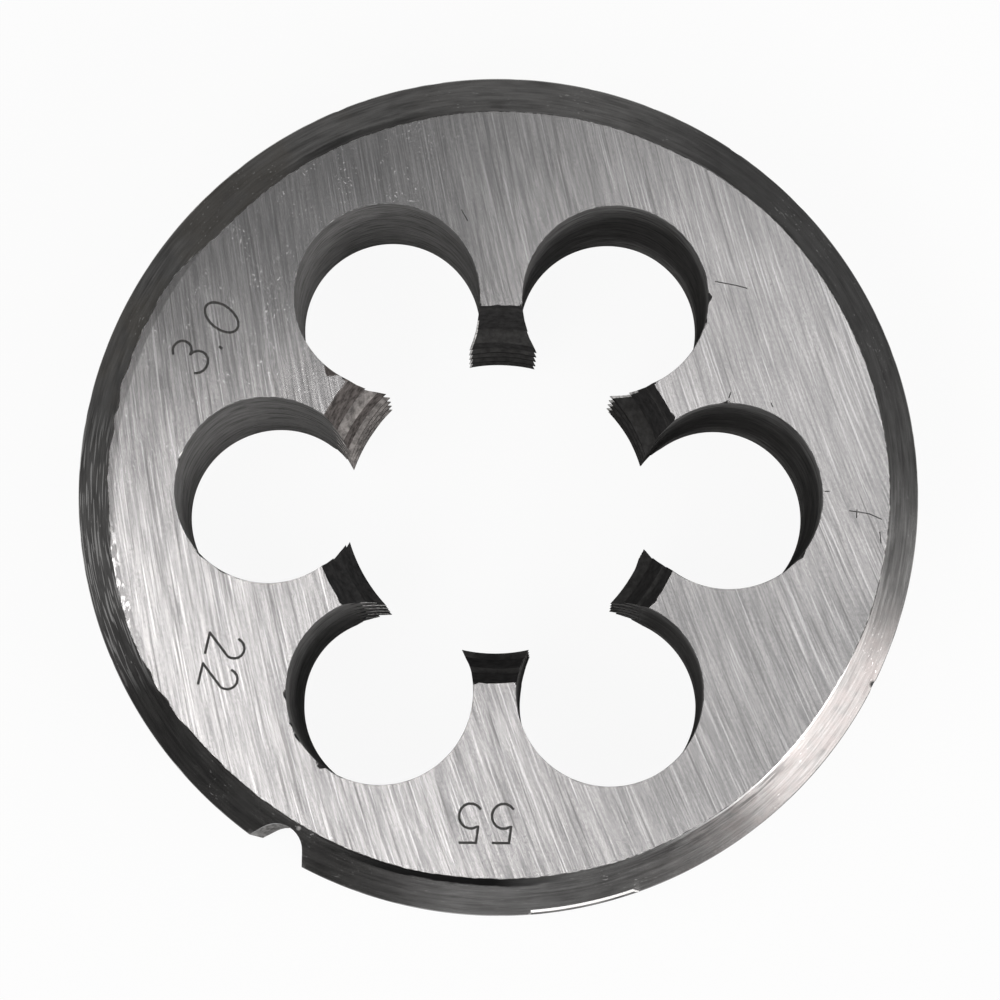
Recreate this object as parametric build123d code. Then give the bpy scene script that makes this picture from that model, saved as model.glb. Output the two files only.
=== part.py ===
"""Round threading die that cuts a 24 mm coarse bolt thread of 3 mm pitch, right hand.

The die is one solid of hardened tool steel, lying on its back face.
The origin is the centre of the back face, +Z runs up the die's axis to the front face,
and +X points at one of the clearance holes.
All lengths are in millimetres and all angles in degrees.
"""

import os
from math import ceil, cos, radians, sin, tan

from build123d import *

# Blank
outer_diameter = 55.0
thickness = 22.0
edge_chamfer_width = 2.2
edge_chamfer_height = 1.2

# Clearance holes, which leave one toothed land between each pair
hole_count = 6
hole_circle_diameter = 30.0
land_neck_width = 2.8

# Thread of the bolt that the die cuts, with its start seen on the back face
thread_diameter = 24.0
thread_pitch = 3.0
thread_flank_angle = 60.0
thread_start_direction = 26.0

# Metric thread form: the bolt's crest flat and thread depth, each for 1 mm of pitch
crest_flat_per_pitch = 0.125
thread_depth_per_pitch = 0.6134

# Lead-in cone at each face, which spreads the cut over the first turns
lead_in_turns = 1.75
lead_in_mouth_clearance = 0.45

# Groove across the rim, which lines the die up in its holder
groove_direction = 238.6
groove_depth = 1.85
groove_root_radius = 1.7
groove_angle = 60.0

# Conical seats in the rim for the holder's set screws, one each side of the groove
seat_spread = 45.0
seat_diameter = 4.0
seat_cone_angle = 90.0

# How far each cutting shape runs past the metal
overcut = 0.3

outer_radius = outer_diameter / 2
mid_height = thickness / 2
hole_radius = (hole_circle_diameter * sin(radians(180 / hole_count)) - land_neck_width) / 2
thread_radius = thread_diameter / 2
core_radius = thread_radius - thread_depth_per_pitch * thread_pitch
lead_in_depth = lead_in_turns * thread_pitch
lead_in_mouth_radius = thread_radius + lead_in_mouth_clearance


def blank():
    """The turned blank: a disc with chamfered rims, and a bore with a lead-in cone at each face."""
    face_radius = outer_radius - edge_chamfer_width
    section = Polyline(
        (core_radius, 0, lead_in_depth),
        (lead_in_mouth_radius, 0, 0),
        (face_radius, 0, 0),
        (outer_radius, 0, edge_chamfer_height),
        (outer_radius, 0, thickness - edge_chamfer_height),
        (face_radius, 0, thickness),
        (lead_in_mouth_radius, 0, thickness),
        (core_radius, 0, thickness - lead_in_depth),
        close=True,
    )
    return revolve(make_face(section), Axis.Z)


def clearance_holes():
    """The drilled holes, which break into the bore, clear the chips and form the cutting edges."""
    drill = Cylinder(hole_radius, thickness + 2 * overcut)
    circle = PolarLocations(hole_circle_diameter / 2, hole_count)
    return Pos(0, 0, mid_height) * circle * drill


def thread_spaces():
    """The helical space between the teeth, as one short arc for each turn on each land.

    An arc spans from one clearance hole's centre line to the next, so it ends in the open,
    and its flanks run on a little way into the bore.
    """
    inner_radius = core_radius - overcut
    root_half_width = crest_flat_per_pitch * thread_pitch / 2
    flank_slope = tan(radians(thread_flank_angle / 2))
    inner_half_width = root_half_width + (thread_radius - inner_radius) * flank_slope
    section = Polyline(
        (inner_radius, 0, -inner_half_width),
        (thread_radius, 0, -root_half_width),
        (thread_radius, 0, root_half_width),
        (inner_radius, 0, inner_half_width),
        close=True,
    )
    land_angle = 360 / hole_count
    land_rise = thread_pitch / hole_count
    run = Helix(thread_pitch, land_rise, thread_radius)
    arc = sweep(make_face(section), path=run, is_frenet=True)
    start_height = -thread_pitch * (1 + thread_start_direction / 360)
    turns = ceil(thickness / thread_pitch) + 2
    return [
        Pos(0, 0, start_height + turn * thread_pitch + land * land_rise)
        * Rot(0, 0, land * land_angle)
        * arc
        for land in range(hole_count)
        for turn in range(turns)
    ]


def rim_groove():
    """The straight groove across the rim: two flanks that run tangent into a round root."""
    half_angle = radians(groove_angle / 2)
    root_centre = outer_radius - groove_depth + groove_root_radius
    tangent_reach = root_centre - groove_root_radius * sin(half_angle)
    tangent_side = groove_root_radius * cos(half_angle)
    mouth_reach = outer_radius + overcut
    mouth_side = tangent_side + (mouth_reach - tangent_reach) * tan(half_angle)
    right_flank = Line((mouth_reach, -mouth_side), (tangent_reach, -tangent_side))
    root = ThreePointArc(
        (tangent_reach, -tangent_side),
        (root_centre - groove_root_radius, 0),
        (tangent_reach, tangent_side),
    )
    left_flank = Line((tangent_reach, tangent_side), (mouth_reach, mouth_side))
    mouth = Line((mouth_reach, mouth_side), (mouth_reach, -mouth_side))
    section = make_face(right_flank + root + left_flank + mouth)
    cutter = extrude(section, thickness + 2 * overcut)
    return Rot(0, 0, groove_direction) * Pos(0, 0, -overcut) * cutter


def screw_seats():
    """The conical seats at mid height, one each side of the groove."""
    slope = tan(radians(seat_cone_angle / 2))
    mouth_radius = seat_diameter / 2 + overcut * slope
    depth = mouth_radius / slope
    cone = Cone(mouth_radius, 0, depth)
    pointing_in = Pos(outer_radius + overcut - depth / 2, 0, mid_height) * Rot(0, -90, 0)
    return [
        Rot(0, 0, groove_direction + side * seat_spread) * pointing_in * cone
        for side in (-1, 1)
    ]


def threading_die():
    """The finished die."""
    die = blank() - clearance_holes() - rim_groove() - screw_seats()
    return die - thread_spaces()


os.makedirs("parts", exist_ok=True)
export_step(threading_die(), "parts/threading_die.step")
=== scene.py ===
"""Looks of the round threading die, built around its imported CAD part.

Lengths are in millimetres and angles in degrees until a mesh is made, which is in metres.
The frame is the part's own: the origin is the centre of the back face, +Z is the die's axis,
+X points at one of the clearance holes, and the camera looks down on the front face.
"""

from math import cos, hypot, pi, radians, sin, tan

import bmesh
import bpy
import numpy as np
from mathutils import Matrix, Vector, noise
from mathutils.geometry import delaunay_2d_cdt


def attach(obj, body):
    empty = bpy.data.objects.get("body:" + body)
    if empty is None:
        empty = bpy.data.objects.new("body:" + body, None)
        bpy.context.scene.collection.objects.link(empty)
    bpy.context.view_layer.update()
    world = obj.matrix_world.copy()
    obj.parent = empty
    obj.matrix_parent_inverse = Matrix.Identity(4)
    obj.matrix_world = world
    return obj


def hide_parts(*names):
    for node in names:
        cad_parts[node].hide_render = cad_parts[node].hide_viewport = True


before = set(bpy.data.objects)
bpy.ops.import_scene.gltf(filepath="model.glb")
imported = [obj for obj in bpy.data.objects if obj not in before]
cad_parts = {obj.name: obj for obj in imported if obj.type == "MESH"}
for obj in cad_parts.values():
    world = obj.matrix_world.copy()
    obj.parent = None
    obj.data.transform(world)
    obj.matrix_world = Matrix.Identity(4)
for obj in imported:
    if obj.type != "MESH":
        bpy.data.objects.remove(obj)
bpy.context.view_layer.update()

MM = 0.001
ROOT_3 = 3 ** 0.5

# The die's own sizes
THICKNESS = 22.0
OUTER_RADIUS = 27.5
FACE_RADIUS = 25.3
CHAMFER_HEIGHT = 1.2
HOLES = 6
HOLE_PACE = 360 / HOLES
HOLE_CIRCLE = 15.0
HOLE_RADIUS = 6.1

# Thread and lead-in cones
PITCH = 3.0
THREAD_RADIUS = 12.0
CORE_RADIUS = THREAD_RADIUS - 0.6134 * PITCH
ROOT_HALF = 0.125 * PITCH / 2
THREAD_START = 26.0
MOUTH_RADIUS = 12.45
LEAD_DEPTH = 1.75 * PITCH
LEAD_SLOPE = (MOUTH_RADIUS - CORE_RADIUS) / LEAD_DEPTH

# Groove and screw seats in the rim
GROOVE_DIRECTION = 238.6
GROOVE_DEPTH = 1.85
GROOVE_ROOT = 1.7
GROOVE_HALF_ANGLE = 30.0
SEAT_DIRECTIONS = (GROOVE_DIRECTION - 45, GROOVE_DIRECTION + 45)
SEAT_RADIUS = 2.0
SEAT_TIP_RADIUS = 0.12

# The holes run slightly out of true: each one's shift in x and y at the front and at the back
HOLE_SHIFTS = [
    ((0.07, -0.03), (-0.12, 0.05)),
    ((0.02, -0.12), (-0.05, 0.0)),
    ((0.09, -0.12), (0.02, 0.0)),
    ((-0.04, 0.1), (-0.2, -0.15)),
    ((-0.11, 0.0), (0.3, -0.18)),
    ((-0.12, 0.04), (0.18, 0.0)),
]

# Where a land starts and ends, as shares of the way from one hole's direction to the next
LAND_SPAN = (0.28, 0.72)

# Burrs that lengthen each land's teeth at its first and last corner. Below 0 they are worn.
# They begin at radius BURR_START and have their whole length BURR_GROWTH further in.
BURRS = [(-0.05, 0.2), (0.22, -0.12), (0.14, 0.16), (0.2, 0.14), (0.1, -0.1), (-0.1, -0.16)]
BURR_START = 11.9
BURR_GROWTH = 1.6

# Lands whose teeth end in a bright burr, its share of the land, and how far out it reaches
BRIGHT_BURRS = {0: 0.045, 1: 0.03, 3: 0.012}
BRIGHT_REACH = 11.2

# The ground face isn't quite round: direction, and how far its edge lies out from FACE_RADIUS
FACE_EDGE = [
    (0, 0.25), (45, 0.18), (60, 0.0), (75, -0.12), (105, -0.17), (120, -0.22), (138, -0.3),
    (147, 0.3), (165, 0.26), (180, 0.21), (195, 0.35), (210, 0.23), (223, -0.1), (240, -0.17),
    (270, -0.18), (285, -0.12), (315, -0.02), (330, 0.0), (345, 0.2),
]
WORN_DIRECTION = 187

# Part of the rim where the chamfer stops short and leaves a narrow ledge
LEDGE = (274.6, 290.0)
LEDGE_WIDTH = 0.24

# Nicks in the outer corner of the rim: direction and size
RIM_NICKS = [(333.6, 0.4), (56.0, 0.25), (113.0, 0.12), (204.0, 0.15), (186.0, 0.12), (170.5, 0.1)]

# Chipped places on the edges of the holes and lands: x, y, reach along the edge and depth
NICKS = [
    (13.75, 13.0, 0.3, 0.4),
    (13.4, 11.3, 0.4, 0.14),
    (14.9, 6.1, 0.25, 0.25),
    (17.95, 5.75, 0.25, 0.25),
    (-13.85, -13.25, 0.3, 0.32),
    (-13.6, -15.2, 0.35, 0.34),
    (-13.0, -16.0, 0.6, 0.16),
    (-11.4, -17.85, 0.3, 0.4),
    (-10.2, -18.7, 0.25, 0.16),
    (-19.3, -4.0, 0.6, 0.16),
    (-17.9, -5.1, 0.4, 0.15),
    (-20.7, 2.1, 0.25, 0.2),
    (-11.0, 8.0, 0.45, 0.55),
    (-9.95, 7.6, 0.3, 0.4),
    (-0.2, 12.35, 0.25, 0.12),
    (-1.45, 12.25, 0.2, 0.22),
    (1.45, 12.25, 0.25, 0.2),
    (-1.45, -12.3, 0.25, 0.2),
    (1.5, -12.3, 0.25, 0.22),
    (10.0, 7.3, 0.25, 0.15),
    (11.3, 5.1, 0.25, 0.2),
    (-10.1, -7.1, 0.25, 0.2),
    (10.2, -6.9, 0.25, 0.15),
    (19.8, -3.9, 0.35, 0.2),
    (12.1, -17.3, 0.3, 0.16),
]

# Scratches on the front face, as lines of points
SCRATCHES = [
    [(14.05, 14.05), (14.7, 13.93), (15.43, 13.8), (16.15, 13.61)],
    [(22.91, -0.92), (23.6, -1.0), (24.22, -1.11), (25.0, -1.45)],
    [(23.4, -0.85), (23.38, -1.35)],
    [(24.9, -2.28), (24.98, -3.0)],
    [(15.12, 6.75), (15.0, 6.4)],
    [(17.75, 6.1), (17.86, 5.85)],
    [(21.3, 0.34), (21.6, 0.34)],
    [(-2.6, 18.6), (-2.2, 17.9)],
]
SCRATCH_HALF = 0.035
SCRATCH_DEPTH = 0.02

# Numbers marked on the front face: text, height, centre and turn
NUMBERS = [
    ("55", 2.55, (-0.6, -21.5), 180),
    ("22", 2.45, (-17.85, -11.2), -102),
    ("3.0", 2.55, (-19.2, 10.1), 52),
]
NUMBER_HALF = 0.085
NUMBER_DEPTH = 0.05

# The grinding lines: their unit of length, lean, fan and bend
LINE_UNIT = 26.16
LINE_LEAN = 0.2886
LINE_FAN = 0.1413
LINE_BEND = 0.0257

# Mesh steps
LAND_STEPS = 14
HOLE_STEPS = 108
LIP_STEPS = 4
RIM_STEP = 0.625
WALL_HEIGHTS = [3.0, 5.5, 7.0] + [8.0 + 0.5 * i for i in range(13)] + [15.0, 16.5, 19.0]
SEAT_PATCH_ANGLE = 5
SEAT_PATCH_HALF = 3.1
TURNS = np.arange(-2, 9, dtype=float)
LOWER_FLANK, UPPER_FLANK, CREST = range(3)
ROW_KINDS = np.array([LOWER_FLANK] * 4 + [UPPER_FLANK] * 4 + [CREST])
ROW_SHARES = np.array([0, 1 / 3, 2 / 3, 1, 0, 1 / 3, 2 / 3, 1, 0.5])
SHARP_ANGLE = 14

# The tiny break along the bore's edges: its depth, the share of it that each ring lies in and
# down, and the width from which it counts as a chip
EDGE_DEPTH = 0.07
EDGE_RINGS = ((1.0, 0.0), (0.3, 0.3))
CHIP_WIDTH = 0.11

# Material slots of the die, in order
FACE, RIM, DRILLED, FLANK, LEAD_IN, MARK, EDGE, BURR = range(8)


def wander(x, y, z, size):
    """Smooth noise from -1 to 1 whose features are about size millimetres across."""
    return noise.noise(Vector((x / size, y / size, z / size)))


def rim_wander(direction, layer, size):
    """Smooth noise along the rim, read on a circle of radius 40. Each layer has its own."""
    turn = radians(direction)
    return wander(40 * cos(turn), 40 * sin(turn), layer, size)


# Shapes of the bore

def envelope(z):
    """Radius of the bore with its lead-in cones, without the thread."""
    from_face = np.minimum(z, THICKNESS - z)
    return np.maximum(CORE_RADIUS, MOUTH_RADIUS - LEAD_SLOPE * from_face)


def space(z, centre):
    """Radius of the thread space whose middle is at height centre."""
    return THREAD_RADIUS - np.maximum(0, np.abs(z - centre) - ROOT_HALF) * ROOT_3


def flank_end(centre, side):
    """Height at which the flank below (side -1) or above (side 1) meets the bore's envelope."""
    inside = centre + side * ROOT_HALF
    outside = inside + side * (THREAD_RADIUS - CORE_RADIUS) / ROOT_3
    for _ in range(30):
        middle = (inside + outside) / 2
        deeper = space(middle, centre) > envelope(middle)
        inside = np.where(deeper, middle, inside)
        outside = np.where(deeper, outside, middle)
    return inside


def land_rows(angle):
    """Heights and radii of a land column's rows. Nine rows make one turn."""
    centre = PITCH * ((angle - THREAD_START) / 360 + TURNS[:, None])
    low = flank_end(centre, -1)
    high = flank_end(centre, 1)
    next_low = flank_end(centre + PITCH, -1)
    floor_low = centre - ROOT_HALF
    floor_high = centre + ROOT_HALF
    z = np.select(
        [ROW_KINDS == LOWER_FLANK, ROW_KINDS == UPPER_FLANK, ROW_KINDS == CREST],
        [
            low + (floor_low - low) * ROW_SHARES,
            floor_high + (high - floor_high) * ROW_SHARES,
            high + (next_low - high) * ROW_SHARES,
        ],
    )
    z = np.clip(z, EDGE_DEPTH, THICKNESS - EDGE_DEPTH)
    return z, np.maximum(envelope(z), space(z, centre))


def corner_turn(radius):
    """Angle between a hole's direction and the place where its wall cuts that radius."""
    across = radius**2 + HOLE_CIRCLE**2 - HOLE_RADIUS**2
    return np.degrees(np.arccos(across / (2 * HOLE_CIRCLE * radius)))


def land_corner(hole_angle, side, burr):
    """Angle, height and radius of each row where a land ends at the hole at hole_angle."""
    radius = np.full((len(TURNS), len(ROW_KINDS)), 11.0)
    for _ in range(12):
        reach = np.clip((BURR_START - radius) / BURR_GROWTH, 0, 1) * burr
        angle = hole_angle + side * (corner_turn(radius) - np.degrees(reach / radius))
        z, radius = land_rows(angle)
    return angle, z, radius


def polar(radius, angle, z):
    """Points of a column as an array of x, y, z rows."""
    turn = np.radians(angle)
    points = np.stack([radius * np.cos(turn), radius * np.sin(turn), z], axis=-1)
    return points.reshape(-1, 3)


def bore_columns():
    """Columns of points round the toothed lands and the clearance holes, and each one's slot."""
    columns = []
    slots = []
    for land in range(HOLES):
        start = land_corner(land * HOLE_PACE, 1, BURRS[land][0])
        end = land_corner((land + 1) * HOLE_PACE, -1, BURRS[land][1])
        after = land_corner((land + 1) * HOLE_PACE, 1, BURRS[(land + 1) % HOLES][0])
        burr = 1 - BRIGHT_BURRS.get(land, 0.03)
        for share in [step / LAND_STEPS for step in range(LAND_STEPS)] + [burr, 1.0]:
            angle = start[0] + (end[0] - start[0]) * share
            z, radius = land_rows(angle)
            columns.append(polar(radius, angle, z))
            slots.append(FLANK)
        slots[-1] = DRILLED
        if land in BRIGHT_BURRS:
            slots[-2] = BURR
        wall = hole_columns((land + 1) * HOLE_PACE, end, after)
        columns += wall
        slots += [DRILLED] * len(wall)
    closing = land_corner(360, 1, BURRS[0][0])
    columns.append(polar(closing[2], closing[0], closing[1]))
    return leaned(np.array(columns)), slots


def hole_columns(direction, before, after):
    """Columns along the wall of the hole at direction, between the land corners beside it."""
    columns = []
    turn = radians(direction)
    first = wall_angle(before[2])
    last = wall_angle(after[2])
    first_lip = lip(before, -turn)
    last_lip = lip(after, -turn)
    for step in range(1, HOLE_STEPS):
        share = step / HOLE_STEPS
        around = -first + (first + last) * share
        z = before[1] + (after[1] - before[1]) * share
        near_first = max(0, 1 - step / LIP_STEPS)
        near_last = max(0, 1 - (HOLE_STEPS - step) / LIP_STEPS)
        radius = HOLE_RADIUS + first_lip * near_first**2 + last_lip * near_last**2
        out = HOLE_CIRCLE + radius * np.cos(around)
        aside = radius * np.sin(around)
        x = out * cos(turn) - aside * sin(turn)
        y = out * sin(turn) + aside * cos(turn)
        columns.append(np.stack([x, y, z], axis=-1).reshape(-1, 3))
    return columns


def lip(corner, turn):
    """How far a land's corner stands into the hole beside it, once turned to lie at +X."""
    angle, _, radius = corner
    x = radius * np.cos(np.radians(angle) + turn)
    y = radius * np.sin(np.radians(angle) + turn)
    return np.hypot(x - HOLE_CIRCLE, y) - HOLE_RADIUS


def wall_angle(radius):
    """Angle about a hole's centre, from straight outwards, at which its wall cuts that radius."""
    turn = np.radians(corner_turn(radius))
    return pi - np.arctan2(radius * np.sin(turn), HOLE_CIRCLE - radius * np.cos(turn))


def leaned(points):
    """The bore's points, shifted as the drilled holes run out of true."""
    x, y, z = points[..., 0], points[..., 1], points[..., 2]
    place = np.degrees(np.arctan2(y, x)) / HOLE_PACE % HOLES
    hole = np.floor(place).astype(int)
    share = np.clip((place - hole - LAND_SPAN[0]) / (LAND_SPAN[1] - LAND_SPAN[0]), 0, 1)
    rise = np.clip(z / THICKNESS, 0, 1)[..., None]
    shifts = np.array(HOLE_SHIFTS)
    here = shifts[hole % HOLES]
    there = shifts[(hole + 1) % HOLES]
    ends = here + (there - here) * share[..., None, None]
    front, back = ends[..., 0, :], ends[..., 1, :]
    shift = back + (front - back) * rise
    return np.concatenate([points[..., :2] + shift, points[..., 2:]], axis=-1)


def edge_wear(x, y, front):
    """Width of the tiny break along the holes' and lands' edges."""
    layer = 0 if front else 80
    width = 0.025 + 0.035 * wander(x, y, layer, 0.6) + 0.02 * wander(x, y, layer + 5, 3)
    if hypot(x, y) < MOUTH_RADIUS + 0.3:
        width += 0.05 * wander(x, y, layer + 7, 0.45)
    width = max(0.012, width)
    if front:
        for nick_x, nick_y, reach, depth in NICKS:
            away = hypot(x - nick_x, y - nick_y) / reach
            width = max(width, depth * max(0, 1 - 0.75 * away))
    return width


def loop_normals(loop):
    """Mitred unit offsets to the right of a closed 2-D loop."""
    ahead = np.roll(loop, -1, axis=0) - loop
    ahead /= np.maximum(np.linalg.norm(ahead, axis=1), 1e-9)[:, None]
    normal = np.stack([ahead[:, 1], -ahead[:, 0]], axis=1)
    before = np.roll(normal, 1, axis=0)
    size = np.maximum(1 + np.sum(normal * before, axis=1), 0.35)
    return (normal + before) / size[:, None]


def bore_profiles(columns):
    """The bore's columns with a broken edge at both faces, and the numbers of the chipped ones."""
    loop_size = len(columns) - 1
    offsets = loop_normals(columns[:-1, -1, :2])
    profiles = []
    chipped = set()
    for j, column in enumerate(columns):
        k = j % loop_size
        ends = []
        for front in (False, True):
            x, y = columns[k, -1 if front else 0, :2]
            width = edge_wear(x, y, front)
            if front and width > CHIP_WIDTH:
                chipped.add(j)
            ring = []
            for share, depth in EDGE_RINGS:
                px, py = (x, y) + offsets[k] * width * share
                below = EDGE_DEPTH * depth
                ring.append((px, py, THICKNESS - below if front else below))
            ends.append(ring)
        profiles.append(ends[0] + [tuple(p) for p in column] + ends[1][::-1])
    return profiles, chipped


# Shapes of the rim

def groove_outline():
    """Directions and radii of the groove's cross-section, from one mouth edge to the other."""
    half = radians(GROOVE_HALF_ANGLE)
    centre = OUTER_RADIUS - GROOVE_DEPTH + GROOVE_ROOT
    reach = centre - GROOVE_ROOT * sin(half)
    side = GROOVE_ROOT * cos(half)
    mouth = reach
    for _ in range(20):
        mouth = (OUTER_RADIUS**2 - (side + (mouth - reach) * tan(half)) ** 2) ** 0.5
    places = [mouth + (reach - mouth) * share for share in (0, 0.35, 0.7)]
    flank = [(x, side + (x - reach) * tan(half)) for x in places]
    turns = np.radians(np.linspace(90 + GROOVE_HALF_ANGLE, 270 - GROOVE_HALF_ANGLE, 13))
    root = [(centre + GROOVE_ROOT * cos(t), GROOVE_ROOT * sin(t)) for t in turns]
    points = [(x, -y) for x, y in flank] + root[::-1] + flank[::-1]
    return [(GROOVE_DIRECTION + np.degrees(np.arctan2(y, x)), hypot(x, y)) for x, y in points]


def rim_directions():
    """Direction and wall radius of each column round the rim."""
    groove = groove_outline()
    low, high = groove[0][0], groove[-1][0]
    even = [(i * RIM_STEP, OUTER_RADIUS) for i in range(round(360 / RIM_STEP))]
    before = [p for p in even if p[0] < low - 0.2]
    after = [p for p in even if p[0] > high + 0.2]
    return before + groove + after


def chamfer_depth(radius, edge=FACE_RADIUS):
    """Depth at that radius of a straight chamfer that starts at edge."""
    return CHAMFER_HEIGHT * (radius - edge) / (OUTER_RADIUS - edge)


def line_place(x, y):
    """Coordinate across the grinding lines, which fan out a little to the right."""
    u, v = x / LINE_UNIT, -y / LINE_UNIT
    return LINE_UNIT * (u - LINE_LEAN * v - LINE_FAN * u * v - LINE_BEND * v * v)


def face_edge(direction, front):
    """Radius at which the ground face ends. It is ragged where grinding has run out."""
    layer = 0 if front else 60
    ragged = 0.02 * rim_wander(direction, layer, 1.2) + 0.05 * rim_wander(direction, layer + 9, 7)
    if front:
        turns, reaches = zip(*FACE_EDGE)
        ragged += np.interp(direction, turns, reaches, period=360)
        turn = radians(direction)
        line = line_place(FACE_RADIUS * cos(turn), FACE_RADIUS * sin(turn))
        worn = max(0, cos(radians(direction - WORN_DIRECTION))) ** 6
        torn = 0.3 * wander(line, 0, 30, 0.32) + 0.12 * rim_wander(direction, 30, 2.4)
        ragged += worn * (0.05 + torn)
    return FACE_RADIUS + ragged


def rim_chip(direction, front):
    """Size of the break in the rim's outer corner."""
    chip = 0.02 + 0.12 * max(0, rim_wander(direction, 20 if front else 90, 1.3) - 0.25)
    if front:
        for place, size in RIM_NICKS:
            chip += size * max(0, 1 - abs(direction - place) / 0.8)
    return chip


def rim_half(direction, wall, front):
    """Radius and depth of a rim column's points, from the face edge down to the wall."""
    edge = face_edge(direction, front)
    start = min(edge + 0.17, wall - 0.12)
    corner = min(wall, OUTER_RADIUS)

    def depth(radius):
        return max(chamfer_depth(radius), chamfer_depth(radius, edge))

    points = [
        (edge - 0.04, 0),
        (edge, 0.012),
        (edge + 0.04, depth(edge + 0.04) + 0.015),
        (start, depth(start) + 0.002),
    ]
    ledge = front and LEDGE[0] < direction < LEDGE[1]
    reach = corner - LEDGE_WIDTH if ledge else corner
    for share in (0.12, 0.5, 0.97):
        radius = start + (reach - start) * share
        points.append((radius, depth(radius)))
    if ledge:
        last = points[-1][1]
        return points + [(corner - 0.13, last + 0.02), (corner, last + 0.4)]
    chip = rim_chip(direction, front)
    points.append((corner - 0.6 * chip, depth(corner) + 0.03 + chip))
    points.append((corner - 0.3 * max(0, chip - 0.1), depth(corner) + 0.12 + 2 * chip))
    return points


def rim_grid(directions):
    """Rows of points from the back face's edge to the front face's edge, for each column."""
    columns = []
    for direction, wall in directions:
        turn = radians(direction)
        profile = rim_half(direction, wall, False)
        profile += [(wall, z) for z in WALL_HEIGHTS]
        profile += [(r, THICKNESS - d) for r, d in reversed(rim_half(direction, wall, True))]
        columns.append([(r * cos(turn), r * sin(turn), z) for r, z in profile])
    return columns


# Marks on the front face

def arc(cx, cy, rx, ry, first, last, steps):
    """Points of an elliptical arc."""
    turns = [radians(first + (last - first) * i / steps) for i in range(steps + 1)]
    return [(cx + rx * cos(t), cy + ry * sin(t)) for t in turns]


# Strokes of each character, 1 high, and how far it moves the pen
DIGITS = {
    "0": [arc(0.3, 0.5, 0.3, 0.5, 90, 270, 10), arc(0.3, 0.5, 0.3, 0.5, -90, 90, 10)],
    "2": [
        arc(0.29, 0.72, 0.27, 0.28, 165, -25, 9) + [(0.02, 0.0)],
        [(0.02, 0.0), (0.58, 0.0)],
    ],
    "3": [
        arc(0.27, 0.76, 0.25, 0.24, 150, -80, 9),
        arc(0.27, 0.27, 0.3, 0.27, 80, -150, 10),
    ],
    "5": [
        [(0.54, 1.0), (0.12, 1.0)],
        [(0.12, 1.0), (0.07, 0.58)],
        arc(0.26, 0.32, 0.3, 0.32, 122, -145, 12),
    ],
    ".": [[(0.1, 0.0), (0.1, 0.07)]],
}
ADVANCE = {"0": 0.86, "2": 0.84, "3": 0.84, "5": 0.84, ".": 0.42}
DIGIT_GAP = 0.25


def number_strokes(text, height, centre, turn):
    """Centre lines of a number's strokes on the face. At turn 0 it reads along +X."""
    c, s = cos(radians(turn)), sin(radians(turn))
    strokes = []
    pen = (DIGIT_GAP - sum(ADVANCE[character] for character in text)) / 2
    for character in text:
        for line in DIGITS[character]:
            points = [((pen + x) * height, (y - 0.5) * height) for x, y in line]
            strokes.append([(centre[0] + x * c - y * s, centre[1] + x * s + y * c) for x, y in points])
        pen += ADVANCE[character]
    return strokes


def stroke_outline(points, half):
    """Closed outline, half wide to each side, of an open line."""
    line = np.array(points)
    ahead = np.diff(line, axis=0)
    ahead /= np.linalg.norm(ahead, axis=1)[:, None]
    line[0] -= ahead[0] * half * 0.6
    line[-1] += ahead[-1] * half * 0.6
    before = np.concatenate([ahead[:1], ahead])
    after = np.concatenate([ahead, ahead[-1:]])
    both = (before + after) / (1 + np.sum(before * after, axis=1))[:, None]
    across = np.stack([-both[:, 1], both[:, 0]], axis=1) * half
    return np.concatenate([line + across, (line - across)[::-1]])


def face_cuts():
    """Outline and depth of each stroke that is cut into the front face."""
    cuts = []
    for text, height, centre, turn in NUMBERS:
        for line in number_strokes(text, height, centre, turn):
            cuts.append((stroke_outline(line, NUMBER_HALF), NUMBER_DEPTH))
    for line in SCRATCHES:
        cuts.append((stroke_outline(line, SCRATCH_HALF), SCRATCH_DEPTH))
    return cuts


# The die's mesh

class Shell:
    """Points, faces and material slots that are gathered into one mesh."""

    def __init__(self):
        self.points = []
        self.faces = []
        self.slots = []

    def add_points(self, points):
        """Adds points and returns their numbers."""
        first = len(self.points)
        self.points.extend([tuple(p) for p in points])
        return list(range(first, len(self.points)))

    def add_face(self, corners, slot):
        """Adds a face, without corners that repeat the one before."""
        kept = [c for i, c in enumerate(corners) if self.points[c] != self.points[corners[i - 1]]]
        if len(kept) > 2:
            self.faces.append(kept)
            self.slots.append(slot)

    def add_grid(self, columns, slot_of, outwards, closed):
        """Joins columns of point numbers. slot_of gives the slot of a column and row, or None."""
        count = len(columns)
        for j in range(count if closed else count - 1):
            here, there = columns[j], columns[(j + 1) % count]
            for i in range(len(here) - 1):
                slot = slot_of(j, i)
                if slot is not None:
                    ring = [here[i], there[i], there[i + 1], here[i + 1]]
                    self.add_face(ring if outwards else ring[::-1], slot)

    def places(self, numbers):
        """x and y of points, as an array."""
        return np.array([self.points[n][:2] for n in numbers])

    def mesh(self, name):
        """The gathered faces as a clean mesh in metres."""
        mesh = bpy.data.meshes.new(name)
        mesh.from_pydata([tuple(c * MM for c in p) for p in self.points], [], self.faces)
        mesh.polygons.foreach_set("material_index", self.slots)
        work = bmesh.new()
        work.from_mesh(mesh)
        bmesh.ops.remove_doubles(work, verts=work.verts, dist=0.0004 * MM)
        bmesh.ops.dissolve_degenerate(work, edges=work.edges, dist=0.0002 * MM)
        loose = [v for v in work.verts if not v.link_faces]
        bmesh.ops.delete(work, geom=loose, context="VERTS")
        work.to_mesh(mesh)
        work.free()
        return mesh


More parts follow.
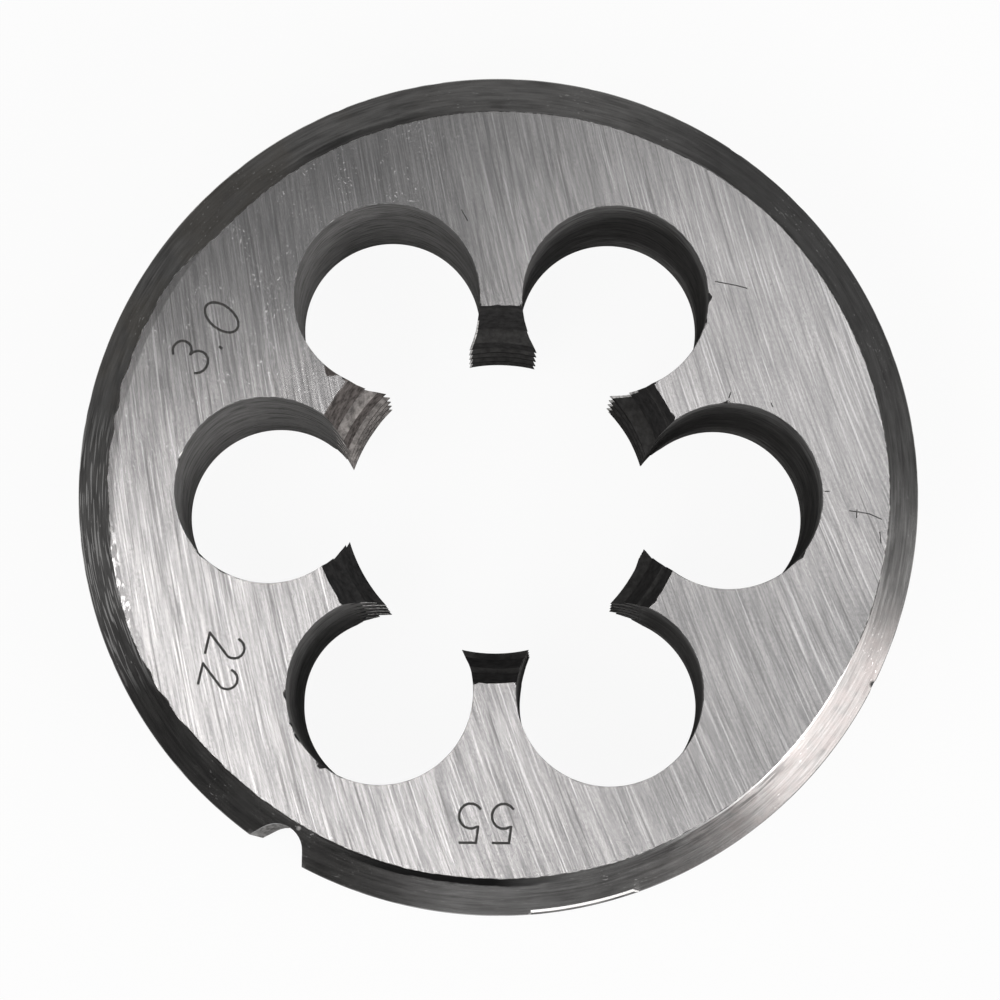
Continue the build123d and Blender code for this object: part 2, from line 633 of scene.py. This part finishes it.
def inside_loop(points, loop):
    """Even-odd test of many points against one closed loop."""
    x, y = points[:, 0][:, None], points[:, 1][:, None]
    ax, ay = loop[:, 0], loop[:, 1]
    bx, by = np.roll(ax, -1), np.roll(ay, -1)
    spans = (ay > y) != (by > y)
    rise = np.where(by == ay, 1e-12, by - ay)
    crossing = ax + (y - ay) / rise * (bx - ax)
    return np.sum(spans & (x < crossing), axis=1) % 2 == 1


def ring_edges(first, count):
    """Edges of a closed ring of count points, numbered from first."""
    return [(first + i, first + (i + 1) % count) for i in range(count)]


def face_triangles(shell, outer, inner, height, outlines):
    """Triangles between two edges, each with the number of the outline it lies in, or -1."""
    ids = outer + inner
    flat = [shell.points[i][:2] for i in ids]
    edges = ring_edges(0, len(outer)) + ring_edges(len(outer), len(inner))
    for outline in outlines:
        edges += ring_edges(len(flat), len(outline))
        flat += [tuple(p) for p in outline]
    made = delaunay_2d_cdt([Vector(p) for p in flat], edges, [], 0, 1e-6, True)
    verts, tris, origins = made[0], made[2], made[3]
    numbers = []
    for vert, origin in zip(verts, origins):
        known = [ids[o] for o in origin if o < len(ids)]
        numbers += known[:1] or shell.add_points([(vert.x, vert.y, height)])
    middles = shell.places(numbers)[np.array(tris)].mean(axis=1)
    kept = inside_loop(middles, shell.places(outer)) & ~inside_loop(middles, shell.places(inner))
    covers = np.full(len(tris), -1)
    for number, outline in enumerate(outlines):
        covers[inside_loop(middles, outline)] = number
    return [([numbers[n] for n in tris[i]], covers[i]) for i in np.flatnonzero(kept)]


def add_face_plane(shell, outer, inner, front, cuts):
    """The ground face between its outer and inner edge. Each cut is an outline and its depth."""
    sunk = {}
    walls = {}
    height = THICKNESS if front else 0.0
    outlines = [outline for outline, _ in cuts]
    for ring, cover in face_triangles(shell, outer, inner, height, outlines):
        if cover < 0:
            shell.add_face(ring if front else ring[::-1], FACE)
            continue
        for n in ring:
            if n not in sunk:
                x, y, z = shell.points[n]
                sunk[n] = shell.add_points([(x, y, z - cuts[cover][1])])[0]
        shell.add_face([sunk[n] for n in ring], MARK)
        for edge in zip(ring, ring[1:] + ring[:1]):
            if edge[::-1] in walls:
                del walls[edge[::-1]]
            else:
                walls[edge] = True
    for a, b in walls:
        shell.add_face([a, b, sunk[b], sunk[a]], MARK)


def seat_mouth(turn):
    """Radius at which a seat's cone meets the round wall, at a turn about the seat's axis."""
    radius = SEAT_RADIUS
    for _ in range(8):
        out = (OUTER_RADIUS**2 - (radius * cos(turn)) ** 2) ** 0.5
        radius = out - (OUTER_RADIUS - SEAT_RADIUS)
    return radius


def add_seat(shell, grid, directions, direction):
    """One conical screw seat in a square patch of the rim. Returns the patch's columns and rows."""
    angles = np.array([d for d, _ in directions])
    first = int(np.argmin(np.abs(angles - direction + SEAT_PATCH_ANGLE)))
    last = int(np.argmin(np.abs(angles - direction - SEAT_PATCH_ANGLE)))
    heights = [shell.points[n][2] for n in grid[first]]
    rows = [i for i, z in enumerate(heights) if abs(z - THICKNESS / 2) < SEAT_PATCH_HALF]
    low, high = rows[0], rows[-1]
    ring = [grid[j][low] for j in range(first, last)]
    ring += [grid[last][i] for i in range(low, high)]
    ring += [grid[j][high] for j in range(last, first, -1)]
    ring += [grid[first][i] for i in range(high, low, -1)]
    middle = radians(direction)
    spokes = []
    for n in ring:
        x, y, z = shell.points[n]
        aside = OUTER_RADIUS * np.arcsin((y * cos(middle) - x * sin(middle)) / OUTER_RADIUS)
        up = z - THICKNESS / 2
        turn = np.arctan2(up, aside)
        spokes.append((turn, hypot(aside, up), seat_mouth(turn)))

    def seat_ring(on_wall, share):
        points = []
        for turn, reach, mouth in spokes:
            if on_wall:
                off = reach + (mouth + 0.04 - reach) * share
                around = off * cos(turn) / OUTER_RADIUS
                out, lateral = OUTER_RADIUS * cos(around), OUTER_RADIUS * sin(around)
            else:
                off = mouth + (SEAT_TIP_RADIUS - mouth) * share
                out, lateral = OUTER_RADIUS - SEAT_RADIUS + off, off * cos(turn)
            x = out * cos(middle) - lateral * sin(middle)
            y = out * sin(middle) + lateral * cos(middle)
            points.append((x, y, THICKNESS / 2 + off * sin(turn)))
        return shell.add_points(points)

    rings = [ring] + [seat_ring(True, share) for share in (0.45, 0.8, 1.0)]
    rings += [seat_ring(False, share) for share in (0.07, 0.5, 1.0)]
    for outer, inner in zip(rings, rings[1:]):
        for i, k in ring_edges(0, len(ring)):
            shell.add_face([outer[i], outer[k], inner[k], inner[i]], RIM)
    shell.add_face(rings[-1], RIM)
    return {(j, i) for j in range(first, last) for i in range(low, high)}


def die_mesh():
    """The whole die as one closed mesh."""
    shell = Shell()
    columns, column_slots = bore_columns()
    profiles, chipped = bore_profiles(columns)
    bore = [shell.add_points(profile) for profile in profiles]
    last_bore_row = len(bore[0]) - 2

    def bore_slot(j, i):
        if i < 2 or i > last_bore_row - 2:
            dark = column_slots[j] != DRILLED or (j in chipped and i > 2)
            return LEAD_IN if dark else EDGE
        if column_slots[j] == DRILLED:
            return DRILLED
        x, y, _ = profiles[j][i]
        if column_slots[j] == BURR and hypot(x, y) < BRIGHT_REACH:
            return BURR
        # Crests and lead-in cones get the darker copy of the thread finish, which is painted shade
        return LEAD_IN if (i - 2) % len(ROW_KINDS) >= 7 else FLANK

    shell.add_grid(bore, bore_slot, outwards=False, closed=False)

    directions = rim_directions()
    rim = [shell.add_points(column) for column in rim_grid(directions)]
    seated = set()
    for seat in SEAT_DIRECTIONS:
        seated |= add_seat(shell, rim, directions, seat)
    last_rim_row = len(rim[0]) - 2
    ledge_rows = {last_rim_row - 6: EDGE, last_rim_row - 7: DRILLED}

    def rim_slot(j, i):
        if (j, i) in seated:
            return None
        if i in (0, last_rim_row):
            return EDGE
        if LEDGE[0] < directions[j][0] < LEDGE[1]:
            return ledge_rows.get(i, RIM)
        return RIM

    shell.add_grid(rim, rim_slot, outwards=True, closed=True)

    for front in (False, True):
        row = -1 if front else 0
        outer = [column[row] for column in rim]
        inner = [column[row] for column in bore[:-1]]
        add_face_plane(shell, outer, inner, front, face_cuts() if front else [])
    return shell.mesh("die_body")


def smooth_by_angle(mesh, limit):
    """Smooth shading, but for the two flat faces and edges sharper than limit."""
    mesh.set_sharp_from_angle(angle=radians(limit))
    for polygon in mesh.polygons:
        polygon.use_smooth = polygon.material_index not in (FACE, MARK)


# Material tools

STEEL_DARK = (0.3, 0.296, 0.298, 1)
STEEL_LIGHT = (0.56, 0.549, 0.547, 1)
STEEL_KEEN_AND_PAINTED_HIGHLIGHT = (0.85, 0.84, 0.845, 1)
STEEL_SCORED = (0.15, 0.147, 0.146, 1)
STEEL_PAINTED_SHADE = (0.26, 0.26, 0.262, 1)
BARE_STEEL_AND_PAINTED_HIGHLIGHT = (0.9, 0.89, 0.89, 1)
SOOT_AND_PAINTED_SHADE = (0.03, 0.03, 0.03, 1)

# Walls seen at a slant don't mirror the pale studio
MATT = {"Roughness": 0.7, "Specular IOR Level": 0.0}


class Graph:
    """Adds nodes to a material or world and joins them."""

    def __init__(self, owner):
        owner.use_nodes = True
        self.owner = owner
        self.tree = owner.node_tree
        self.tree.nodes.clear()

    def add(self, kind, inputs=None, **settings):
        """A new node. Each input is a value, or another node's output to join to it."""
        node = self.tree.nodes.new(kind)
        for key, value in settings.items():
            setattr(node, key, value)
        for key, value in (inputs or {}).items():
            if isinstance(value, bpy.types.NodeSocket):
                self.tree.links.new(value, node.inputs[key])
            else:
                node.inputs[key].default_value = value
        return node

    def math(self, operation, a, b=0.0, clamp=False):
        node = self.add("ShaderNodeMath", {0: a, 1: b}, operation=operation, use_clamp=clamp)
        return node.outputs[0]

    def times(self, a, b):
        return self.math("MULTIPLY", a, b)

    def plus(self, a, b):
        return self.math("ADD", a, b)

    def place(self):
        """x, y and z in millimetres in the part's frame."""
        point = self.add("ShaderNodeTexCoord").outputs["Object"]
        split = self.add("ShaderNodeSeparateXYZ", {0: point})
        return [self.times(split.outputs[i], 1000.0) for i in range(3)]

    def vector(self, x, y, z):
        return self.add("ShaderNodeCombineXYZ", {0: x, 1: y, 2: z}).outputs[0]

    def spread(self, value, low, high, to_low=0.0, to_high=1.0, curve="LINEAR"):
        """Value taken from low and high to to_low and to_high, and held at both ends."""
        inputs = {0: value, 1: low, 2: high, 3: to_low, 4: to_high}
        return self.add("ShaderNodeMapRange", inputs, interpolation_type=curve).outputs[0]

    def blend(self, share, a, b):
        node = self.add("ShaderNodeMix", {0: share, 6: a, 7: b}, data_type="RGBA")
        return node.outputs[2]

    def finish(self, shader, output="ShaderNodeOutputMaterial"):
        self.add(output, {0: shader})
        return self.owner


def material_graph(name):
    """Graph of a new material."""
    return Graph(bpy.data.materials.new(name))


def stretched(g, a, b, c, sizes, detail=2.0, rough=0.5):
    """Noise whose features are sizes millimetres long along a, b and c."""
    parts = [g.math("DIVIDE", value, size) for value, size in zip((a, b, c), sizes)]
    inputs = {"Vector": g.vector(*parts), "Scale": 1.0, "Detail": detail, "Roughness": rough}
    return g.add("ShaderNodeTexNoise", inputs).outputs[0]


def weighted(g, pairs):
    """Sum of values, each times its weight."""
    total = 0.0
    for value, weight in pairs:
        total = g.plus(g.times(value, weight), total)
    return total


def reach_of(g, x, y):
    """Distance from the axis."""
    return g.math("SQRT", g.plus(g.times(x, x), g.times(y, y)))


def towards(g, x, y, direction, start, full):
    """0 away from a direction and 1 near it. start and full are angles from it."""
    along = weighted(g, [(x, cos(radians(direction))), (y, sin(radians(direction)))])
    share = g.math("DIVIDE", along, reach_of(g, x, y))
    return g.spread(share, cos(radians(start)), cos(radians(full)))


def zone(g, x, y, place, mask, amount):
    """Share of a colour in the sector at place (direction, start, full), times mask and amount."""
    return g.times(g.times(towards(g, x, y, *place), amount), mask)


def spot(g, x, y, place, reach):
    """1 within reach of a place, and 0 beyond twice that."""
    off_x = g.math("SUBTRACT", x, place[0])
    off_y = g.math("SUBTRACT", y, place[1])
    return g.spread(reach_of(g, off_x, off_y), 2 * reach, reach)


def shaded(g, inputs, height=None, strength=0.0, distance=0.0):
    """Ends a material in one Principled shader, with height as its bump."""
    if height is not None:
        bump = {"Height": height, "Strength": strength, "Distance": distance}
        inputs = {**inputs, "Normal": g.add("ShaderNodeBump", bump).outputs[0]}
    return g.finish(g.add("ShaderNodeBsdfPrincipled", inputs).outputs[0])


# Materials

def ground_face():
    """Ground steel: fine lines across the face that fan out a little to the right."""
    g = material_graph("ground_steel")
    x, y, z = g.place()
    u = g.math("DIVIDE", x, LINE_UNIT)
    v = g.math("DIVIDE", y, -LINE_UNIT)
    bent = weighted(g, [(g.times(u, v), -LINE_FAN), (g.times(v, v), -LINE_BEND)])
    across = g.times(weighted(g, [(u, 1.0), (v, -LINE_LEAN), (bent, 1.0)]), LINE_UNIT)
    along = g.plus(y, g.times(x, -LINE_LEAN))

    def lines_of(shift, sizes, detail):
        return stretched(g, g.plus(across, shift), along, z, sizes, detail)

    thin = lines_of(0.0, (0.13, 2.6, 5.0), 1.0)
    middling = lines_of(31.0, (0.34, 6.0, 5.0), 1.0)
    broad = lines_of(57.0, (1.2, 16.0, 5.0), 1.0)
    keen = lines_of(71.0, (0.11, 6.0, 5.0), 0.0)
    scored = lines_of(113.0, (0.12, 6.0, 5.0), 0.0)
    grain = stretched(g, x, y, z, (0.2, 0.2, 0.2), 1.0)
    pits = stretched(g, x, y, z, (0.15, 0.15, 0.15), 1.0)
    sparse = stretched(g, x, y, z, (1.6, 1.6, 1.6), 1.0)
    cloud = stretched(g, x, y, z, (6.0, 6.0, 6.0))
    lines = weighted(g, [(thin, 0.45), (middling, 0.23), (broad, 0.14)])
    tone = g.plus(lines, g.times(grain, 0.22))
    colour = g.blend(g.spread(tone, 0.39, 0.65), STEEL_DARK, STEEL_LIGHT)
    colour = g.blend(g.spread(keen, 0.64, 0.78, 0.0, 0.5), colour, STEEL_KEEN_AND_PAINTED_HIGHLIGHT)
    colour = g.blend(g.spread(scored, 0.66, 0.78, 0.0, 0.55), colour, STEEL_SCORED)

    # Painted shade makes the face duller at the upper left and lower right, and a painted highlight
    # makes it keener at the upper right
    outer = g.spread(weighted(g, [(x, -0.5), (y, 0.866)]), 14.5, 20.0, 0.45, 1.1)
    colour = g.blend(zone(g, x, y, (120, 42, 12), outer, 0.45), colour, STEEL_PAINTED_SHADE)
    colour = g.blend(zone(g, x, y, (318, 34, 20), 1.0, 0.25), colour, STEEL_PAINTED_SHADE)
    colour = g.blend(zone(g, x, y, (42, 60, 25), 1.0, 0.14), colour, STEEL_KEEN_AND_PAINTED_HIGHLIGHT)

    # Pits everywhere, and glints at the upper left
    dented = g.spread(sparse, 0.5, 0.6, 0.0, 0.7)
    pitted = g.times(g.spread(pits, 0.72, 0.8), dented)
    colour = g.blend(pitted, colour, (0.1, 0.095, 0.09, 1))
    near = g.times(towards(g, x, y, 140, 50, 30), g.spread(sparse, 0.5, 0.42, 0.0, 0.8))
    colour = g.blend(g.times(g.spread(pits, 0.33, 0.28), near), colour, STEEL_KEEN_AND_PAINTED_HIGHLIGHT)

    # The border on the left, where grinding has run out
    border = g.spread(reach_of(g, x, y), 25.05, 25.15)
    colour = g.blend(zone(g, x, y, (168, 43, 30), border, 0.5), colour, STEEL_SCORED)
    torn = stretched(g, x, y, z, (0.3, 0.8, 0.3), 2.0, 0.6)
    bright = g.times(border, g.spread(torn, 0.5, 0.6))
    colour = g.blend(zone(g, x, y, (193.5, 9, 4), bright, 0.9), colour, BARE_STEEL_AND_PAINTED_HIGHLIGHT)

    # The shine is drawn out across the lines, so the tangent follows their fan
    lean_x = g.plus(g.times(v, -LINE_FAN), 1.0)
    lean_y = g.plus(weighted(g, [(u, LINE_FAN), (v, 2 * LINE_BEND)]), LINE_LEAN)
    inputs = {
        "Base Color": colour,
        "Metallic": 1.0,
        "Roughness": g.spread(cloud, 0.3, 0.7, 0.21, 0.24),
        "Anisotropic": 0.9,
        "Tangent": g.vector(lean_x, lean_y, 0.0),
    }
    return shaded(g, inputs, lines, 0.35, 0.00002)


def turned_rim():
    """Dark turned steel with lines round the rim."""
    g = material_graph("turned_steel")
    x, y, z = g.place()
    radius = reach_of(g, x, y)

    # Length round the rim, counted from opposite the groove, so that its seam lies in the groove
    opposite = radians(GROOVE_DIRECTION - 180)
    turned_x = weighted(g, [(x, cos(opposite)), (y, sin(opposite))])
    turned_y = weighted(g, [(y, cos(opposite)), (x, -sin(opposite))])
    arc_length = g.times(g.math("ARCTAN2", turned_y, turned_x), OUTER_RADIUS)
    lines = stretched(g, radius, z, arc_length, (0.13, 0.13, 4.0), 2.0, 0.6)
    streaks = stretched(g, radius, z, arc_length, (0.1, 0.1, 2.2), 0.0)
    patches = stretched(g, radius, z, arc_length, (0.4, 0.4, 2.4), 3.0, 0.65)
    flecks = stretched(g, radius, z, arc_length, (0.12, 0.12, 0.3), 1.0)
    cloud = stretched(g, x, y, z, (4.0, 4.0, 4.0), 4.0, 0.65)
    fine = stretched(g, x, y, z, (0.9, 0.9, 0.9), 4.0, 0.7)
    tone = weighted(g, [(lines, 0.4), (patches, 0.4), (cloud, 0.2)])
    colour = g.blend(g.spread(tone, 0.36, 0.64), (0.16, 0.157, 0.154, 1), (0.39, 0.384, 0.379, 1))
    bevel = g.spread(z, THICKNESS - 1.6, THICKNESS - 1.2)
    high = g.spread(z, THICKNESS - 3.2, THICKNESS - 1.5)

    def paint(colour, place, mask, amount, layer):
        return g.blend(zone(g, x, y, place, mask, amount), colour, layer)

    # Painted light and shade on the front chamfer, by direction: paler at 268.5 and 95 degrees, darker
    # at 42 and 230 degrees
    texture = g.times(g.spread(tone, 0.4, 0.6, 0.3, 1.0), bevel)
    colour = paint(colour, (268.5, 17, 6), texture, 0.95, (0.56, 0.555, 0.55, 1))
    colour = paint(colour, (95, 38, 22), texture, 0.65, (0.5, 0.49, 0.48, 1))
    colour = paint(colour, (42, 30, 16), bevel, 0.35, (0.1, 0.1, 0.1, 1))
    mottled = g.blend(g.spread(tone, 0.4, 0.6), (0.062, 0.061, 0.06, 1), (0.12, 0.118, 0.115, 1))
    colour = paint(colour, (230, 34, 18), bevel, 0.95, mottled)

    # A brown stain at the upper left, and a warm mottle at the lower right
    stained = g.spread(cloud, 0.42, 0.6)
    colour = paint(colour, (140, 45, 20), stained, 0.4, (0.25, 0.225, 0.19, 1))
    warm = g.spread(cloud, 0.4, 0.6)
    colour = paint(colour, (318, 30, 15), warm, 0.35, (0.3, 0.272, 0.262, 1))
    warm = g.spread(fine, 0.42, 0.6)
    colour = paint(colour, (320, 28, 16), warm, 0.4, (0.3, 0.268, 0.26, 1))

    # Lines and wear on the chamfer, and along its inner edge a painted highlight at the lower right
    # and a dark band of painted shade at the bottom and upper left
    scored = g.times(g.times(g.spread(radius, 26.1, 25.8), bevel), g.spread(streaks, 0.46, 0.4))
    colour = paint(colour, (304, 16, 10), scored, 0.7, (0.1, 0.098, 0.097, 1))
    # Painted highlight along the inner edge at the lower right
    keen = g.times(g.spread(g.plus(radius, g.times(patches, 0.2)), 25.53, 25.45), bevel)
    colour = paint(colour, (320, 26, 18), keen, 0.55, BARE_STEEL_AND_PAINTED_HIGHLIGHT)
    worn = g.times(g.spread(streaks, 0.6, 0.65), high)
    colour = paint(colour, (189, 21, 9), worn, 0.9, (0.95, 0.94, 0.93, 1))
    rubbed_and_painted_light = g.times(g.spread(cloud, 0.5, 0.6, 0.0, 0.7), high)
    rubbed_and_painted_light = g.times(g.spread(flecks, 0.68, 0.74), rubbed_and_painted_light)
    colour = g.blend(rubbed_and_painted_light, colour, (0.8, 0.79, 0.78, 1))
    # Painted shade: a dark band along the inner edge
    ragged = g.plus(radius, g.times(g.math("SUBTRACT", patches, 0.5), 0.5))
    inner = g.times(g.spread(ragged, FACE_RADIUS + 0.36, FACE_RADIUS + 0.24), bevel)
    colour = paint(colour, (262, 20, 8), inner, 1.0, SOOT_AND_PAINTED_SHADE)
    colour = paint(colour, (112, 16, 7), inner, 0.5, SOOT_AND_PAINTED_SHADE)

    # Two chips in the chamfer
    chip = g.times(spot(g, x, y, (-12.75, -21.95), 0.09), bevel)
    colour = g.blend(chip, colour, (0.7, 0.69, 0.68, 1))
    chip = g.times(spot(g, x, y, (24.6, -12.2), 0.16), bevel)
    colour = g.blend(chip, colour, SOOT_AND_PAINTED_SHADE)

    # The groove's flanks are milled and dull
    slot = zone(g, x, y, (GROOVE_DIRECTION, 4.7, 4.5), g.spread(z, 21.0, 20.6), 1.0)
    milled = g.spread(stretched(g, x, y, z, (0.3, 0.3, 4.5), 4.0, 0.65), 0.33, 0.67)
    milled = g.blend(milled, (0.14, 0.138, 0.135, 1), (0.42, 0.415, 0.41, 1))
    colour = g.blend(slot, colour, milled)

    # Painted shade makes the chamfer darker than the wall, but least so at its bright lower right
    bright_side = towards(g, x, y, 320, 42, 28)
    darker = g.times(bevel, g.math("SUBTRACT", 0.3, g.times(bright_side, 0.22)))
    colour = g.blend(darker, colour, (0, 0, 0, 1))
    inputs = {
        "Base Color": colour,
        "Metallic": g.math("SUBTRACT", 1.0, slot),
        "Roughness": 0.27,
        "Anisotropic": 0.4,
        "Anisotropic Rotation": 0.25,
        "Specular IOR Level": 0.0,
        "Tangent": g.add("ShaderNodeTangent", direction_type="RADIAL", axis="Z").outputs[0],
    }
    return shaded(g, inputs, lines, 0.3, 0.00002)


def drilled_wall():
    """Walls of the clearance holes, dark from hardening, paler on the left, and paler near the faces
    with painted light.
    """
    g = material_graph("hardened_steel")
    x, y, z = g.place()
    torn = stretched(g, x, y, z, (3.2, 3.2, 0.4), 4.0, 0.65)
    cloud = stretched(g, x, y, z, (5.0, 5.0, 4.0))
    fine = stretched(g, x, y, z, (1.5, 1.5, 0.22), 3.0, 0.65)
    bare = g.times(g.spread(x, 9.0, -9.0), g.spread(y, -11.0, -3.0, 0.1, 1.0))
    bare = g.math("MAXIMUM", bare, g.times(spot(g, x, y, (6.9, -7.2), 1.7), 0.75))
    bare = g.math("ADD", bare, g.spread(cloud, 0.35, 0.65, -0.12, 0.12), clamp=True)
    shade = g.spread(fine, 0.35, 0.65)
    scale = g.blend(shade, (0.055, 0.054, 0.053, 1), (0.11, 0.109, 0.107, 1))
    paler = g.blend(shade, (0.085, 0.084, 0.083, 1), (0.17, 0.168, 0.165, 1))
    scale = g.blend(g.spread(y, -4.0, -9.0), scale, paler)
    steel = g.blend(shade, (0.2, 0.198, 0.196, 1), (0.4, 0.396, 0.392, 1))
    colour = g.blend(bare, scale, steel)
    # Painted light: paler near the faces, darker deep in the hole
    from_face = g.math("MINIMUM", z, g.math("SUBTRACT", THICKNESS, z))
    shifted = weighted(g, [(from_face, 1.0), (torn, -7.0), (cloud, -5.0)])
    rubbed_and_painted_light = g.blend(shade, (0.14, 0.138, 0.136, 1), (0.3, 0.297, 0.293, 1))
    colour = g.blend(g.spread(shifted, -3.8, -1.4, 0.7, 0.0), colour, rubbed_and_painted_light)
    colour = g.blend(g.spread(torn, 0.47, 0.38, 0.0, 0.55), colour, (0.025, 0.025, 0.025, 1))
    return shaded(g, {"Base Color": colour, **MATT}, torn, 0.5, 0.0001)


def thread_wall(name, dark, pale):
    """Cut thread, black but for the land at 150 degrees, where the scale has come off."""
    g = material_graph(name)
    x, y, z = g.place()
    grain = stretched(g, x, y, z, (0.5, 0.5, 0.35), 3.0, 0.65)
    tone = g.spread(grain, 0.35, 0.65)
    colour = g.blend(tone, tuple(0.6 * c for c in dark) + (1,), dark + (1,))
    greyer = g.blend(tone, SOOT_AND_PAINTED_SHADE, (0.055, 0.054, 0.054, 1))
    colour = g.blend(towards(g, x, y, 210, 24, 22), colour, greyer)
    bare = g.blend(tone, tuple(0.35 * c for c in pale) + (1,), pale + (1,))
    colour = g.blend(towards(g, x, y, 150, 24, 22), colour, bare)
    return shaded(g, {"Base Color": colour, **MATT}, grain, 0.4, 0.00004)


def mottle(g, size, low, high, dark, pale):
    """Colour that is mottled from dark to pale, where noise goes from low to high."""
    x, y, z = g.place()
    patches = stretched(g, x, y, z, (size, size, size), 2.0, 0.6)
    return g.blend(g.spread(patches, low, high), dark, pale)


def mark_dark():
    """Burnt floor of the marked strokes."""
    g = material_graph("burnt_mark")
    colour = mottle(g, 0.17, 0.3, 0.7, (0.02, 0.02, 0.02, 1), (0.07, 0.068, 0.065, 1))
    return shaded(g, {"Base Color": colour, "Roughness": 0.7})


def broken_edge():
    """Narrow broken edges, bare steel in places and all along the rim's ledge."""
    g = material_graph("broken_edge")
    colour = mottle(g, 0.5, 0.45, 0.65, (0.12, 0.118, 0.115, 1), (0.7, 0.69, 0.68, 1))
    x, y, _ = g.place()
    colour = g.blend(g.spread(reach_of(g, x, y), 26.8, 26.9), colour, (0.9, 0.89, 0.88, 1))
    return shaded(g, {"Base Color": colour, "Metallic": 1.0, "Roughness": 0.35})


def bright_burr():
    """Burr of torn bright steel."""
    g = material_graph("bright_burr")
    colour = mottle(g, 0.25, 0.4, 0.6, (0.3, 0.296, 0.29, 1), (0.75, 0.74, 0.73, 1))
    return shaded(g, {"Base Color": colour, "Roughness": 0.6})


# The die

body = die_mesh()
smooth_by_angle(body, SHARP_ANGLE)
for made in (
    ground_face(),
    turned_rim(),
    drilled_wall(),
    thread_wall("cut_flank", (0.055, 0.054, 0.053), (0.4, 0.375, 0.36)),
    # A darker copy of the cut flank: painted shade on the crests and lead-in cones
    thread_wall("lead_in_painted_shade", (0.045, 0.044, 0.044), (0.2, 0.18, 0.172)),
    mark_dark(),
    broken_edge(),
    bright_burr(),
):
    body.materials.append(made)
die = bpy.data.objects.new("die_body", body)
bpy.context.scene.collection.objects.link(die)
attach(die, "root")
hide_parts("threading_die")


# Floor, camera and light, in metres

def seen_rays(g):
    """1 for rays from the camera, a mirror or glass, and 0 for the rest."""
    path = g.add("ShaderNodeLightPath")
    seen = g.math("ADD", path.outputs["Is Camera Ray"], path.outputs["Is Glossy Ray"], clamp=True)
    return g.math("ADD", seen, path.outputs["Is Transmission Ray"], clamp=True)


def make_floor():
    """Plain floor just below the die, which looks white but keeps a faint shadow."""
    half = 3.0
    height = -0.00004
    g = material_graph("pale_floor")
    matt = g.add("ShaderNodeBsdfDiffuse", {"Color": (0.85, 0.85, 0.85, 1)})
    white = g.add("ShaderNodeEmission", {"Color": (1, 1, 1, 1), "Strength": 1.0})
    share = g.times(seen_rays(g), 0.93)
    both = g.add("ShaderNodeMixShader", {0: share, 1: matt.outputs[0], 2: white.outputs[0]})
    floor_mesh = bpy.data.meshes.new("floor")
    corners = [(x * half, y * half, height) for x, y in ((-1, -1), (1, -1), (1, 1), (-1, 1))]
    floor_mesh.from_pydata(corners, [], [(0, 1, 2, 3)])
    floor_mesh.materials.append(g.finish(both.outputs[0]))
    floor = bpy.data.objects.new("floor", floor_mesh)
    bpy.context.scene.collection.objects.link(floor)


def make_world():
    """White studio that is bright near the horizon and dimmest overhead."""
    g = Graph(bpy.data.worlds.new("studio"))
    direction = g.add("ShaderNodeTexCoord").outputs["Generated"]
    rise = g.add("ShaderNodeSeparateXYZ", {0: direction}).outputs[2]
    low = g.spread(rise, 0.05, 0.4, 0.8, 0.24, "SMOOTHSTEP")
    overhead = g.spread(rise, 0.7, 0.85, 0.0, 0.102, "SMOOTHSTEP")
    strength = g.math("SUBTRACT", low, overhead)
    back = g.add("ShaderNodeBackground", {"Color": (1, 1, 1, 1), "Strength": strength})
    bpy.context.scene.world = g.finish(back.outputs[0], "ShaderNodeOutputWorld")


def make_lamp(name, width, depth, place, strength, colour):
    """Area lamp that faces straight down. Strength is its radiance."""
    lamp = bpy.data.lights.new(name, "AREA")
    lamp.shape = "RECTANGLE"
    lamp.size = width
    lamp.size_y = depth
    lamp.energy = strength * width * depth * pi
    lamp.color = colour
    panel = bpy.data.objects.new(name, lamp)
    panel.location = place
    bpy.context.scene.collection.objects.link(panel)
    return panel


def make_lights():
    """Three panels overhead and one square panel low on the right, which faces the die."""
    left = make_lamp("overhead_left", 0.347, 0.718, (-0.305, -0.309, 1.0), 6.5, (1, 0.984, 0.978))
    left.rotation_euler = (0, 0, radians(10))
    make_lamp("overhead_right", 0.42, 1.4, (0.29, -0.216, 1.0), 0.79, (1, 1, 1))
    make_lamp("overhead_far", 0.73, 1.2, (1.006, -0.521, 1.0), 1.62, (1, 1, 1))
    side = make_lamp("low_right", 0.477, 0.477, (0.775, -0.444, 0.622), 3.03, (1, 0.965, 0.955))
    side.rotation_euler = (-side.location).to_track_quat("-Z", "Y").to_euler()


def make_camera():
    """Camera above the front face, at the photograph's angle and distance."""
    data = bpy.data.cameras.new("camera")
    data.sensor_width = 36.0
    data.lens = 185.81
    data.clip_start = 0.01
    data.clip_end = 100.0
    camera = bpy.data.objects.new("camera", data)
    camera.location = (0.000309, -0.02651, 0.35772)
    tilt = Matrix.Rotation(-0.07749, 3, "X") @ Matrix.Rotation(0.00019, 3, "Y")
    tilt = tilt @ Matrix.Rotation(-0.0100, 3, "Z")
    camera.rotation_euler = tilt.transposed().to_euler()
    bpy.context.scene.collection.objects.link(camera)
    bpy.context.scene.camera = camera


make_floor()
make_world()
make_camera()
make_lights()

bpy.context.scene.view_settings.view_transform = "Standard"
